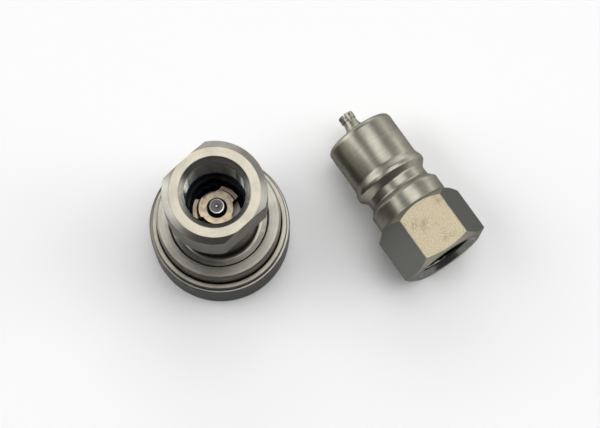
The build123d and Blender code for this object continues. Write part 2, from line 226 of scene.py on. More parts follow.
@dataclass
class Outline:
    """A half section.

    Attributes:
        corners: radius, height, edge break, and the band of the run after it.
        closed: whether the last corner joins the first.
        steps: points on each eased corner.
        most: the largest share of a run that an edge break takes.
    """

    corners: list[Corner]
    closed: bool = True
    steps: int = 4
    most: float = 0.48

    def eased(self) -> tuple[np.ndarray, np.ndarray, list[Band]]:
        """The outline with each corner eased.

        A corner B between A and C becomes the curve (1-s)^2 P + 2 s (1-s) B + s^2 Q for s from 0 to 1, where
        P and Q lie the edge break away from B towards A and C.

        Returns:
            Radii, heights, and the band of the run after each point.
        """
        at = np.array([c[:2] for c in self.corners], float)
        cut = np.array([c[2] for c in self.corners], float)
        before, after = np.roll(at, 1, 0), np.roll(at, -1, 0)
        if not self.closed:
            before[0], after[-1] = at[0], at[-1]
            cut[0] = cut[-1] = 0.0
        back, on = before - at, after - at
        back_length, on_length = np.hypot(*back.T), np.hypot(*on.T)
        back_length[back_length == 0] = on_length[on_length == 0] = 1.0
        back_cut = np.minimum(cut, self.most * back_length)
        on_cut = np.minimum(cut, self.most * on_length)
        p = at + back * (back_cut / back_length)[:, None]
        q = at + on * (on_cut / on_length)[:, None]
        s = np.linspace(0, 1, self.steps)[None, :, None]
        curve = (1 - s) ** 2 * p[:, None] + 2 * s * (1 - s) * at[:, None] + s**2 * q[:, None]
        flat = curve.reshape(-1, 2)
        bands = [c[3] for c in self.corners for _ in range(self.steps)]
        return flat[:, 0], flat[:, 1], bands


@dataclass
class Trim:
    """Flats milled over a stretch of an outline.

    Attributes:
        apothem: distance of each flat from the axis.
        count: number of flats round the axis, the first facing angle 0.
        low: lower end of the stretch.
        high: upper end of the stretch.
        wall: how far inside the flats a point may lie and still be on the body's outside.
        beside: angle between a flat's side edge and the columns next to it, in degrees.
    """

    apothem: float
    count: int
    low: float
    high: float
    wall: float = 3.2
    beside: float = 0.2

    def reach(self, angles: np.ndarray) -> np.ndarray:
        """The distance to a flat along each angle: apothem / cos(angle from the nearest flat's middle)."""
        sector = 2 * math.pi / self.count
        off = (angles + sector / 2) % sector - sector / 2
        return self.apothem / np.maximum(np.cos(off), 1e-3)

    def angles(self, outer: float, columns: int) -> np.ndarray:
        """Angles for a grid's columns, with one on each flat's side edges and one close on either side.

        Args:
            outer: the turned radius that the flats are cut into.
            columns: about how many columns there are round the axis.

        Returns:
            Rising angles from the first flat's edge, less than one turn in all.
        """
        edge = math.acos(self.apothem / outer)
        sector = 2 * math.pi / self.count
        inside = max(8, round(columns * edge / math.pi))
        outside = max(2, round(columns * (sector - 2 * edge) / (2 * math.pi)))
        beside = math.radians(self.beside)
        over = np.linspace(beside - edge, edge - beside, inside)
        between = np.linspace(edge + beside, sector - edge - beside, outside)
        one = np.concatenate([[-edge], over, [edge], between])
        return (np.arange(self.count)[:, None] * sector + one[None, :]).ravel()

    def cut(self, r: np.ndarray, z: np.ndarray, angles: np.ndarray) -> tuple[np.ndarray, np.ndarray]:
        """Cut the flats into an outline.

        A point beyond the flat's distance moves to where the outline crosses that distance, on its own side
        of the outline's widest run.

        Args:
            r: the outline's radii.
            z: the outline's heights.
            angles: the grid's column angles.

        Returns:
            Radii and heights, each a row per outline point and a column per angle.
        """
        reach = self.reach(angles)
        radii = np.repeat(r[:, None], len(angles), 1)
        heights = np.repeat(z[:, None], len(angles), 1)
        along = (z >= self.low - SAME) & (z <= self.high + SAME)
        rows = np.flatnonzero(along & (r > self.apothem - self.wall))
        widest = np.flatnonzero(r[rows] > r[rows].max() - SAME)
        middle = rows[widest[len(widest) // 2 - 1]]
        up, down = rows[rows <= middle], rows[rows > middle]
        enter = np.interp(reach, np.maximum.accumulate(r[up]), z[up])
        leave = np.interp(reach, np.maximum.accumulate(r[down][::-1]), z[down][::-1])
        for part, height in ((up, enter), (down, leave)):
            beyond = radii[part] > reach
            heights[part] = np.where(beyond, height[None, :], heights[part])
            radii[part] = np.where(beyond, reach[None, :], radii[part])
        return radii, heights


# ---- Meshes ----


def skin(
    name: str, points: np.ndarray, bands: list[Band], closed: bool, dress: Dress
) -> bpy.types.Object:
    """Make a piece from a grid of points that closes round its columns.

    Args:
        name: the piece's name.
        points: rows x columns x 3, in metres.
        bands: the band of the run after each row.
        closed: whether the last row joins the first.
        dress: the material of each band.

    Returns:
        The piece, with coincident points merged, and sharp where its faces turn by over SHARP_ANGLE.
    """
    rows, columns = points.shape[:2]
    i = np.arange(rows if closed else rows - 1)[:, None]
    j = np.arange(columns)[None, :]
    i2, j2 = (i + 1) % rows, (j + 1) % columns
    ring = (i * columns + j, i * columns + j2, i2 * columns + j2, i2 * columns + j)
    quads = np.stack(np.broadcast_arrays(*ring), -1).reshape(-1, 4)
    order = list(dict.fromkeys(dress[b].name for b in bands))
    row_slot = np.array([order.index(dress[b].name) for b in bands])[: len(i)]
    mesh = bpy.data.meshes.new(name)
    mesh.vertices.add(rows * columns)
    mesh.vertices.foreach_set("co", points.reshape(-1).astype(np.float32))
    mesh.loops.add(quads.size)
    mesh.loops.foreach_set("vertex_index", quads.reshape(-1).astype(np.int32))
    mesh.polygons.add(len(quads))
    mesh.polygons.foreach_set("loop_start", np.arange(0, quads.size, 4, dtype=np.int32))
    mesh.polygons.foreach_set("material_index", np.repeat(row_slot, columns).astype(np.int32))
    mesh.update(calc_edges=True)
    for material in order:
        mesh.materials.append(bpy.data.materials[material])
    work = bmesh.new()
    work.from_mesh(mesh)
    bmesh.ops.remove_doubles(work, verts=work.verts, dist=MERGE)
    bmesh.ops.dissolve_degenerate(work, edges=work.edges, dist=MERGE / 2)
    bmesh.ops.recalc_face_normals(work, faces=work.faces)
    work.to_mesh(mesh)
    work.free()
    mesh.shade_smooth()
    mesh.set_sharp_from_angle(angle=math.radians(SHARP_ANGLE))
    piece = bpy.data.objects.new(name, mesh)
    bpy.context.scene.collection.objects.link(piece)
    weights = piece.modifiers.new("even_shading", "WEIGHTED_NORMAL")
    weights.keep_sharp = True
    return piece


@dataclass
class Thread:
    """A parallel pipe thread cut into a bore.

    Attributes:
        low: where its full turns begin.
        turns: number of turns.
        pitch: distance between turns.
        crest_r: radius of the crests.
        root_r: radius of the roots.
        rows: grid rows for each turn.
        flank: share of the pitch that the flanks take, the rest being lands.
        rounding: how far the lands' edges are rounded, from 0 to 1.
        run_in: turns over which it deepens at its lower end.
        run_out: turns over which it dies away at its upper end.
    """

    low: float
    turns: float = 8
    pitch: float = 1.814
    crest_r: float = 9.32
    root_r: float = 10.48
    rows: int = 14
    flank: float = 0.62
    rounding: float = 0.25
    run_in: float = 0.5
    run_out: float = 0.7

    def grid(self, angles: np.ndarray, rising: bool) -> tuple[np.ndarray, np.ndarray]:
        """The thread's surface.

        radius = crest + (root - crest) * fade(height) * v(height / pitch - angle / turn), where v is a wave
        of straight flanks with short lands, and fade falls to 0 over the run-in and the run-out.

        Args:
            angles: the grid's column angles.
            rising: whether rows go up the axis or down it.

        Returns:
            Radii and heights, each rows x columns.
        """
        height = np.linspace(self.low, self.low + self.turns * self.pitch, int(self.turns * self.rows) + 1)
        phase = (height[:, None] / self.pitch - angles[None, :] / (2 * math.pi)) % 1.0
        wave = np.clip((0.5 - abs(phase - 0.5) * 2) / self.flank + 0.5, 0, 1)
        wave = wave * wave * (3 - 2 * wave) * self.rounding + wave * (1 - self.rounding)
        run = (height - self.low) / self.pitch
        fade = np.clip(np.minimum(run / self.run_in, (self.turns - run) / self.run_out), 0, 1)
        radii = self.crest_r + (self.root_r - self.crest_r) * wave * fade[:, None]
        heights = np.repeat(height[:, None], len(angles), 1)
        return (radii, heights) if rising else (radii[::-1], heights[::-1])


def around(radii: np.ndarray, heights: np.ndarray, angles: np.ndarray) -> np.ndarray:
    """Points at (radius cos(angle), radius sin(angle), height), rows x columns x 3."""
    return np.stack([radii * np.cos(angles), radii * np.sin(angles), heights], -1)


def turned(
    name: str, outline: Outline, turning: Turning, dress: Dress, angles: np.ndarray,
    trim: Trim | None = None, thread: Thread | None = None,
) -> bpy.types.Object:
    """Make a turned piece.

    The outline is carried round the axis, its flats are cut, and the thread's rows go in where the outline
    has a run along the thread's crests.

    Args:
        name: the piece's name.
        outline: its half section.
        turning: its axis.
        dress: the material of each band.
        angles: the grid's column angles.
        trim: flats cut into it, if it has any.
        thread: the thread in its port, if it has one.

    Returns:
        The piece.
    """
    r, z, bands = outline.eased()
    if trim is None:
        radii, heights = (np.repeat(a[:, None], len(angles), 1) for a in (r, z))
    else:
        radii, heights = trim.cut(r, z, angles)
    if thread is not None:
        low, high = thread.low - 0.01, thread.low + thread.turns * thread.pitch + 0.01
        near = np.flatnonzero((abs(r - thread.crest_r) < SAME) & (z > low) & (z < high))
        first, last = near[0], near[-1]
        add_r, add_z = thread.grid(angles, rising=z[last] > z[first])
        radii = np.concatenate([radii[:first], add_r, radii[last + 1 :]])
        heights = np.concatenate([heights[:first], add_z, heights[last + 1 :]])
        bands = bands[:first] + [bands[first]] * (len(add_r) - 1) + bands[last:]
    return skin(name, turning.place(around(radii, heights, angles)), bands, outline.closed, dress)


def full_turn(columns: int) -> np.ndarray:
    """Evenly spaced column angles."""
    return np.linspace(0, 2 * math.pi, columns, endpoint=False)


# ---- Finishes ----


@dataclass(frozen=True)
class TurnedSteel:
    """Stainless steel off the lathe: fine rings round the turning axis, faint tool lines and a light stain.

    Attributes:
        name: the material's name.
        light: colour of unstained metal.
        dark: colour of stained metal.
        gloss: roughness of the unstained metal.
        glance: reflectance at a glancing angle.
        rings: rings per millimetre.
        wander: how far the rings shift as they go round.
        cut: depth of the rings in millimetres.
        stain: how much of the dark colour shows.
    """

    name: str
    light: Colour = (0.215, 0.198, 0.165)
    dark: Colour = (0.12, 0.113, 0.098)
    gloss: float = 0.27
    glance: float = 1.0
    rings: float = 5.0
    wander: float = 0.35
    cut: float = 0.004
    stain: float = 0.5

    def dress(self, turning: Turning) -> Material:
        """Write the material for pieces turned about that axis."""
        recipe = Recipe(self.name)
        where, radius, height, round_x, round_y = axis_coordinates(recipe, turning)
        across = radius * self.rings + round_x * self.wander
        along = height * self.rings + round_y * self.wander
        lathe = recipe.node("CombineXYZ", {}, {0: across, 1: along, 2: round_x * 0.3})
        fine = recipe.noise(lathe, 1.0, 2.0, 0.6)
        lines = recipe.noise(lathe, 0.22, 1.0)
        patch = recipe.noise(where, 0.16, 3.0, 0.55)
        tone = (patch.ramp(0.38, 0.68) * 0.75 + lines.ramp(0.4, 0.7) * 0.35) * self.stain
        colour = recipe.blend(tone, self.light, self.dark)
        return recipe.finish(
            {
                "Base Color": colour,
                "Metallic": 1.0,
                "Specular Tint": (self.glance, self.glance, self.glance, 1.0),
                "Roughness": self.gloss + fine * 0.08 + patch * 0.06 - 0.05,
            },
            fine * 0.7 + lines * 0.6,
            self.cut,
        )


@dataclass(frozen=True)
class MilledSteel:
    """Stainless bar stock left with its grainy skin on the hexagon's flats, with painted light and shade: the
    upper flat takes lighter colours, the others a darker one.

    Attributes:
        name: the material's name.
        light: colour of the grain's high spots on the upper flat, lightened as painted light.
        dark: colour of its low spots on the upper flat.
        shaded_sides: colour of the other flats, darkened as painted shade.
        gloss: roughness.
        grain: size of the grain in millimetres.
        depth: height of the grain in millimetres.
    """

    name: str
    light: Colour = (0.4, 0.345, 0.24)
    dark: Colour = (0.13, 0.11, 0.08)
    shaded_sides: Colour = (0.17, 0.17, 0.158)
    gloss: float = 0.3
    grain: float = 0.3
    depth: float = 0.006

    def dress(self, turning: Turning) -> Material:
        """Write the material for flats about that axis."""
        recipe = Recipe(self.name)
        where, _, _, round_x, _ = axis_coordinates(recipe, turning)
        speck = recipe.noise(where, 1 / self.grain, 3.0, 0.65)
        patch = recipe.noise(where, 0.22, 3.0, 0.6)
        tone = speck.ramp(0.38, 0.62) * 0.6 + patch.ramp(0.5, 0.75) * 0.35
        # painted light and shade: the flat facing angle 0, which is up on the plug, takes the lighter grain
        # colours, and the other flats the darker side colour
        lit_top = recipe.blend(tone, self.light, self.dark)
        return recipe.finish(
            {
                "Base Color": recipe.blend(round_x.ramp(0.861, 0.866), self.shaded_sides, lit_top),
                "Metallic": 1.0,
                "Specular Tint": (0.35, 0.35, 0.35, 1.0),
                "Roughness": self.gloss + speck * 0.1,
            },
            speck,
            self.depth,
        )


@dataclass(frozen=True)
class PassivatedSheet:
    """Stamped stainless sheet with a straw tint and mottled stains.

    Attributes:
        name: the material's name.
        straw: main colour.
        rose: colour of the mottle.
    """

    name: str
    straw: Colour = (0.56, 0.475, 0.33)
    rose: Colour = (0.31, 0.235, 0.19)

    def dress(self, turning: Turning) -> Material:
        """Write the material."""
        recipe = Recipe(self.name)
        where = axis_coordinates(recipe, turning)[0]
        patch = recipe.noise(where, 0.55, 3.0, 0.65)
        speck = recipe.noise(where, 3.0, 2.0, 0.6)
        tone = patch.ramp(0.4, 0.66) * 0.75 + speck.ramp(0.5, 0.7) * 0.35
        return recipe.finish(
            {
                "Base Color": recipe.blend(tone, self.straw, self.rose),
                "Metallic": 1.0,
                "Roughness": 0.34 + speck * 0.12,
            },
            speck,
            0.006,
        )


@dataclass(frozen=True)
class PlainMetal:
    """Drawn wire, pressed rings and balls: one colour with a fine grain.

    Attributes:
        name: the material's name.
        colour: the metal's colour.
        gloss: roughness.
        grain: grains per millimetre.
        depth: height of the grain in millimetres.
    """

    name: str
    colour: Colour
    gloss: float = 0.3
    grain: float = 3.0
    depth: float = 0.003

    def dress(self, turning: Turning) -> Material:
        """Write the material."""
        recipe = Recipe(self.name)
        where = axis_coordinates(recipe, turning)[0]
        speck = recipe.noise(where, self.grain, 2.0)
        tone = recipe.noise(where, 0.4, 2.0).ramp(0.35, 0.7) * 0.5 + speck * 0.2
        darker = tuple(c * 0.6 for c in self.colour)
        return recipe.finish(
            {
                "Base Color": recipe.blend(tone, self.colour, darker),
                "Metallic": 1.0,
                "Roughness": self.gloss + speck * 0.08,
            },
            speck,
            self.depth,
        )


@dataclass(frozen=True)
class Moulded:
    """Rubber and plastic rings: matt, with a fine skin and a little dust.

    Attributes:
        name: the material's name.
        colour: the compound's colour.
        dust: colour of the dust.
        gloss: roughness.
    """

    name: str
    colour: Colour
    dust: Colour
    gloss: float = 0.5

    def dress(self, turning: Turning) -> Material:
        """Write the material."""
        recipe = Recipe(self.name)
        where = axis_coordinates(recipe, turning)[0]
        speck = recipe.noise(where, 6.0, 3.0, 0.65)
        patch = recipe.noise(where, 0.6, 2.0)
        dusty = patch.ramp(0.4, 0.8) * 0.35 + speck.ramp(0.6, 0.8) * 0.15
        return recipe.finish(
            {
                "Base Color": recipe.blend(dusty, self.colour, self.dust),
                "Roughness": self.gloss + speck * 0.2,
                "Specular IOR Level": 0.4,
            },
            speck,
            0.006,
        )


def axis_coordinates(recipe: Recipe, turning: Turning) -> tuple[Signal, Signal, Signal, Signal, Signal]:
    """Coordinates about a turning axis, in millimetres.

    Args:
        recipe: the material that they are for.
        turning: the axis.

    Returns:
        The point, its distance from the axis, its height along it, and the cosine and sine of its angle.
    """
    turn = turning.matrix()
    raw = recipe.node("TexCoord", {}, {}, "Object")
    values = {"Vector": raw, "Location": turn.to_translation(), "Rotation": turn.to_euler()}
    own = recipe.node("Mapping", {"vector_type": "TEXTURE"}, values)
    where = recipe.vector("SCALE", own, 1000.0)
    across = recipe.vector("MULTIPLY", where, (1.0, 1.0, 0.0))
    radius = recipe.vector("LENGTH", across, output="Value")
    outward = recipe.vector("NORMALIZE", across)
    height = recipe.node("SeparateXYZ", {}, {0: where}, 2)
    round_x, round_y = (recipe.node("SeparateXYZ", {}, {0: outward}, i) for i in (0, 1))
    return where, radius, height, round_x, round_y


# ---- Sub-assemblies ----


def adopt(piece: bpy.types.Object, body: str, slot: str, *nodes: str) -> None:
    """Let a new piece ride on a body and stand for CAD nodes."""
    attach(piece, body)
    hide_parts(*nodes)
    log.info("%s: %d faces on %s", piece.name, len(piece.data.polygons), body)


def restyle(material: Material, *nodes: str) -> None:
    """Give CAD nodes that stay in view their finish."""
    for node in nodes:
        piece = frame["nodes"][node]
        piece.data.materials.clear()
        piece.data.materials.append(material)
        log.info("%s: CAD mesh in %s", node, material.name)


@dataclass
class Coil:
    """A compression spring with ground ends.

    Attributes:
        name: the CAD spring that it stands for.
        body: the body that it rides on.
        joint: the joint that presses it; not used.
        low: height of its lower end, which gives way.
        high: height of its fixed end.
        mean_r: radius of the coil at the wire's centre.
        wire_r: radius of the wire.
        turns: number of turns.
        travel: how far its lower end is pushed up; not used.
        play: gap at each end.
        per_turn: grid rows for each turn.
        round_wire: grid columns round the wire.
    """

    name: str
    body: str
    joint: str
    low: float
    high: float
    mean_r: float
    wire_r: float
    turns: float
    travel: float
    play: float = 0.05
    per_turn: int = 48
    round_wire: int = 16

    def build(self, turning: Turning, material: Material) -> None:
        """Draw the coil.

        At a share t of the coil and an angle a round the wire, the radius is mean + wire * cos(a), and the
        height rises evenly with t from half a wire's radius above the lower end, plus wire * sin(a), held
        between the two ground ends. The first and last rows draw in to the wire's centre.

        Args:
            turning: the axis that the spring winds round.
            material: the wire's finish.
        """
        low, high = self.low + self.play, self.high - self.play
        t = np.linspace(0, 1, round(self.turns * self.per_turn) + 1)
        t = np.concatenate([t[:1], t, t[-1:]])[:, None]
        thick = np.full_like(t, self.wire_r)
        thick[0] = thick[-1] = 0.0
        a = full_turn(self.round_wire)[None, :]
        turn = t * self.turns * 2 * math.pi
        radius = self.mean_r + thick * np.cos(a)
        centre = low + self.wire_r / 2 + t * (high - low - self.wire_r)
        height = np.clip(centre + thick * np.sin(a), low, high)
        points = turning.place(around(radius, height, turn))
        coil = skin(f"{self.name}_wound", points, [Band.WALL] * len(t), False, {Band.WALL: material})
        adopt(coil, self.body, "spring_steel", self.name)
        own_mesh(coil)


@dataclass
class Chamber:
    """What both bodies have inside: throat, valve chamber with the groove for its snap ring, and port.

    Attributes:
        throat_low: height of the throat's lower end.
        throat_high: height where the throat opens into the seat's cone.
        ring_low: lower side of the groove for the guide's snap ring.
        top: height of the chamber's end.
        port: height of the port's end face.
    """

    throat_low: float
    throat_high: float
    ring_low: float
    top: float
    port: float
    throat_r: float = 5.7
    chamber_r: float = 8.5
    ring_groove_r: float = 8.95
    ring_groove: float = 0.95
    relief: float = 1.5
    relief_cone: float = 0.99
    relief_end: float = 0.3
    port_mouth_r: float = 10.95

    def thread(self) -> Thread:
        """The port's thread, which begins where its relief ends."""
        return Thread(self.top + self.relief)

    def corners(self) -> list[Corner]:
        """Corners from the throat's lower end to the port's countersink."""
        deep, bore = Band.DEEP, Band.BORE
        thread = self.thread()
        cone_high = self.throat_high + self.chamber_r - self.throat_r
        ring_high = self.ring_low + self.ring_groove
        return [
            (self.throat_r, self.throat_low, 0.1, deep),
            (self.throat_r, self.throat_high, 0.1, deep),
            (self.chamber_r, cone_high, 0.2, deep),
            (self.chamber_r, self.ring_low, 0.05, deep),
            (self.ring_groove_r, self.ring_low, 0.05, deep),
            (self.ring_groove_r, ring_high, 0.05, deep),
            (self.chamber_r, ring_high, 0.05, deep),
            (self.chamber_r, self.top, 0.1, deep),
            (thread.root_r, self.top + self.relief_cone, 0.1, bore),
            (thread.root_r, thread.low - self.relief_end, 0.1, bore),
            (thread.crest_r, thread.low, 0.0, bore),
            (thread.crest_r, self.port - (self.port_mouth_r - thread.crest_r), 0.0, bore),
        ]


@dataclass
class Valve:
    """A half's poppet, drawn again where asked, and its spring.

    Attributes:
        half: "socket" or "plug".
        turning: the valve's axis, from its datum.
        tip: how far the tip stands out of the datum.
        knob: length of the tip's knob.
        tip_r: radius of the knob.
        waist_r: radius behind the knob.
        disc_r: radius of the poppet's face.
        guide_under: height of the guide's underside, which the spring rests on.
    """

    half: str
    turning: Turning
    tip: float
    knob: float
    tip_r: float = 2.6
    waist_r: float = 2.3
    disc_r: float = 5.45
    cone_low: float = 1.1621
    groove_low: float = 2.1152
    groove_high: float = 4.0152
    groove_floor_r: float = 5.3
    flange_r: float = 7.3
    flange_back: float = 5.2152
    pilot_r: float = 3.3
    pilot_top: float = 6.0152
    stem_r: float = 2.45
    stem_end: float = 17.1152
    mark_r: float = 0.6
    guide_under: float = 13.3152
    columns: int = 72

    def flare(self) -> list[Corner]:
        """Corners of the flare from the waist to the face, a quarter of an ellipse."""
        high = self.tip - self.knob
        turn = np.linspace(0, math.pi / 2, 9)[1:-1]
        across = self.disc_r - (self.disc_r - self.waist_r) * np.cos(turn)
        along = -high * (1 - np.sin(turn))
        return [(float(r), float(h), 0.0, Band.WALL) for r, h in zip(across, along)]

    def poppet_outline(self) -> Outline:
        """The poppet's half section, from the stem's centre mark to the tip."""
        tip, face = -self.tip, -self.tip + self.knob
        wall = Band.WALL
        corners = [
            # painted shade and highlight: the stem's flat end takes a dark copy of the steel, its rim and
            # centre mark a light one
            (0.0, self.stem_end - self.mark_r * 0.35, 0.0, Band.MARK),
            (self.mark_r * 0.6, self.stem_end - self.mark_r * 0.3, 0.1, Band.MARK),
            (self.mark_r, self.stem_end, 0.06, Band.STEM),
            (self.stem_r - 0.42, self.stem_end, 0.03, Band.MARK),
            (self.stem_r - 0.1, self.stem_end - 0.04, 0.03, wall),
            (self.stem_r, self.stem_end - 0.2, 0.05, wall),
            (self.stem_r, self.pilot_top, 0.2, wall),
            (self.pilot_r, self.pilot_top, 0.1, wall),
            (self.pilot_r, self.flange_back, 0.1, wall),
            (self.flange_r, self.flange_back, 0.1, wall),
            (self.flange_r, self.groove_high, 0.05, wall),
            (self.groove_floor_r, self.groove_high, 0.05, wall),
            (self.groove_floor_r, self.groove_low, 0.05, wall),
            (self.disc_r + self.groove_low - self.cone_low, self.groove_low, 0.05, wall),
            (self.disc_r, self.cone_low, 0.05, wall),
            (self.disc_r, 0.0, 0.1, Band.FACE),
            *self.flare()[::-1],
            (self.waist_r, face, 0.05, wall),
            (self.tip_r, face, 0.05, wall),
            (self.tip_r, tip + 0.2, 0.08, Band.FACE),
            (self.tip_r - 0.2, tip, 0.08, Band.FACE),
            (0.0, tip, 0.0, Band.FACE),
        ]
        return Outline(corners, closed=False, steps=3)

    def build(self, dress: Dress, wire: Material, redraw: bool) -> None:
        """Draw the poppet again where asked, and wind its spring.

        Args:
            dress: the steel of each band.
            wire: the spring's finish.
            redraw: whether the poppet is drawn again or keeps its CAD mesh.
        """
        poppet = f"{self.half}_poppet"
        if redraw:
            outline, angles = self.poppet_outline(), full_turn(self.columns)
            piece = turned(f"{poppet}_turned", outline, self.turning, dress, angles)
            adopt(piece, poppet, "valve_steel", poppet)
        else:
            restyle(dress[Band.WALL], poppet)
        spring = Coil(f"{poppet}_spring", body=f"{self.half}_body", joint=f"{poppet}_slide",
                      low=self.flange_back, high=self.guide_under, mean_r=4.2, wire_r=0.4, turns=4.0,
                      travel=4.2)
        spring.build(self.turning, wire)


@dataclass
class Socket:
    """The socket's rear body and sleeve, drawn again, and its front body.

    Attributes:
        turning: the socket's axis, from the plane of its mouth.
        length: height of the rear body's end face.
    """

    turning: Turning
    length: float = 68.1572
    head_low: float = 51.2572
    head_r: float = 15.85
    head_face_r: float = 13.8
    head_chamfer: float = 1.0
    head_flat: float = 13.5
    head_columns: int = 240
    neck_r: float = 12.4
    neck_fillet: float = 2.0
    collar_r: float = 15.7
    collar_top: float = 27.45
    collar_seat: float = 24.45
    spigot_r: float = 14.5
    spigot_low: float = 19.15
    nose_bore_r: float = 11.95
    nose_bore_round: float = 2.1
    nose_stop: float = 28.2
    broken: float = 0.4
    valve_z: float = 29.8
    throat_land: float = 1.2
    ring_low: float = 40.8152
    chamber_top: float = 50.5152
    sleeve_low: float = 0.6
    sleeve_top: float = 20.6
    sleeve_r: float = 22.49
    rim_r: float = 21.65
    shoulder: float = 17.4
    bore_r: float = 19.95
    land_r: float = 16.0
    land_top: float = 9.0
    recess_r: float = 17.73
    ramp_top: float = 5.65
    ramp_foot: float = 1.78
    spring_top: float = 17.95
    columns: int = 288

    def chamber(self) -> Chamber:
        """The rear body's inside."""
        throat_high = self.valve_z + self.throat_land
        return Chamber(self.nose_stop, throat_high, self.ring_low, self.chamber_top, self.length)

    def rear_outline(self) -> Outline:
        """The rear body's half section."""
        wall, deep = Band.WALL, Band.DEEP
        chamber = self.chamber()
        broken = self.broken
        spigot_edge = self.spigot_low + broken
        corners = [
            *chamber.corners(),
            (chamber.port_mouth_r, self.length, 0.12, Band.FACE),
            (self.head_face_r, self.length, 0.12, wall),
            (self.head_r, self.length - self.head_chamfer, 0.15, wall),
            (self.head_r, self.head_low + broken, 0.1, wall),
            (self.head_r - broken, self.head_low, 0.1, wall),
            (self.neck_r, self.head_low, 0.2, wall),
            (self.neck_r, self.collar_top, self.neck_fillet, wall),
            (self.collar_r - broken, self.collar_top, 0.1, wall),
            (self.collar_r, self.collar_top - broken, 0.1, wall),
            (self.collar_r, self.collar_seat, 0.0, deep),
            (self.spigot_r, self.collar_seat, 0.1, deep),
            (self.spigot_r, spigot_edge, 0.1, deep),
            (self.spigot_r - broken, self.spigot_low, 0.1, deep),
            (self.nose_bore_r + broken, self.spigot_low, 0.1, deep),
            (self.nose_bore_r, spigot_edge, 0.1, deep),
            (self.nose_bore_r, self.nose_stop, self.nose_bore_round, deep),
            (self.nose_bore_r - self.nose_bore_round - 0.2, self.nose_stop, 0.0, deep),
        ]
        return Outline(corners, steps=6)

    def sleeve_outline(self) -> Outline:
        """The sleeve's half section."""
        wall, face, deep = Band.WALL, Band.FACE, Band.DEEP
        corners = [
            (self.recess_r, self.sleeve_low, 0.1, deep),
            (self.recess_r, self.ramp_foot, 0.2, deep),
            (self.land_r, self.ramp_top, 0.2, deep),
            (self.land_r, self.land_top, 0.1, deep),
            (self.bore_r, self.land_top, 0.1, Band.BORE),
            (self.bore_r, self.sleeve_top, 0.25, face),
            (self.rim_r, self.sleeve_top, 0.4, wall),
            (self.rim_r, self.shoulder, 0.1, face),
            (self.sleeve_r, self.shoulder, 0.4, wall),
            (self.sleeve_r, self.sleeve_low, 0.5, face),
        ]
        return Outline(corners, steps=5)

    def sleeve_spring(self) -> Coil:
        """The spring that pushes the sleeve towards the mouth."""
        return Coil("sleeve_spring", body="spring_coil", joint="sleeve_slide", low=self.land_top,
                    high=self.spring_top, mean_r=17.925, wire_r=0.7, turns=3.5, travel=3.8)

    def build(self, dress: Dress) -> None:
        """Draw the rear body and the sleeve, and dress the front one."""
        trim = Trim(self.head_flat, 2, self.head_low, self.length)
        angles = trim.angles(self.head_r, self.head_columns)
        outline, thread = self.rear_outline(), self.chamber().thread()
        rear = turned("rear_body_turned", outline, self.turning, dress, angles, trim, thread)
        adopt(rear, "socket_body", "socket_steel", "socket_rear_body")
        restyle(dress[Band.WALL], "socket_front_body")
        # painted shade and light: the sleeve's outside wall takes a darker copy of the steel and its end
        # faces a lighter one
        shaded_wall = TurnedSteel("sleeve_wall_steel", (0.155, 0.157, 0.148), (0.09, 0.092, 0.087), glance=0.32)
        rim = TurnedSteel("sleeve_rim_steel", (0.29, 0.268, 0.22), (0.16, 0.152, 0.13))
        dress = {**dress, Band.WALL: shaded_wall.dress(self.turning), Band.FACE: rim.dress(self.turning)}
        sleeve = turned("sleeve_turned", self.sleeve_outline(), self.turning, dress, full_turn(self.columns))
        adopt(sleeve, "sleeve", "sleeve_steel", "sleeve")


@dataclass
class Plug:
    """The plug half, turned from hexagon bar.

    Attributes:
        turning: the plug's axis, from its nose face.
    """

    turning: Turning
    length: float = 50.5
    nose_r: float = 11.75
    nose_round: float = 1.9
    nose_end: float = 15.8
    collar_r: float = 12.6
    collar_low: float = 17.9
    collar_high: float = 19.2
    groove_r: float = 10.7
    groove_low: float = 21.3
    groove_high: float = 24.3
    shank_r: float = 12.5
    shank_low: float = 26.4
    hex_low: float = 31.6
    hex_corner_r: float = 15.488
    hex_flat: float = 13.5
    hex_front: float = 2.7
    hex_rear: float = 1.5
    face_r: float = 12.5
    throat_land: float = 1.2
    ring_low: float = 11.0152
    chamber_end: float = 32.858
    columns: int = 228

    def chamber(self) -> Chamber:
        """The plug's inside."""
        return Chamber(0.0, self.throat_land, self.ring_low, self.chamber_end, self.length)

    def outline(self) -> Outline:
        """The plug body's half section."""
        wall = Band.WALL
        chamber = self.chamber()
        corners = [
            *chamber.corners(),
            (chamber.port_mouth_r, self.length, 0.12, wall),
            (self.face_r, self.length, 0.12, wall),
            (self.hex_corner_r, self.length - self.hex_rear, 0.0, Band.FLAT),
            (self.hex_corner_r, self.hex_low + self.hex_front, 0.0, wall),
            (self.shank_r, self.hex_low, 0.1, wall),
            (self.shank_r, self.shank_low, 0.15, wall),
            (self.groove_r, self.groove_high, 0.5, wall),
            (self.groove_r, self.groove_low, 0.5, wall),
            (self.collar_r, self.collar_high, 0.3, wall),
            (self.collar_r, self.collar_low, 0.4, wall),
            (self.nose_r, self.nose_end, 0.6, wall),
            (self.nose_r, 0.0, self.nose_round, wall),
        ]
        return Outline(corners, steps=6)

    def build(self, dress: Dress) -> None:
        """Draw the plug's body."""
        trim = Trim(self.hex_flat, 6, self.hex_low, self.length)
        angles = trim.angles(self.hex_corner_r, self.columns)
        outline, thread = self.outline(), self.chamber().thread()
        body = turned("plug_body_turned", outline, self.turning, dress, angles, trim, thread)
        adopt(body, "plug_body", "plug_steel", "plug_body")


# ---- Studio ----


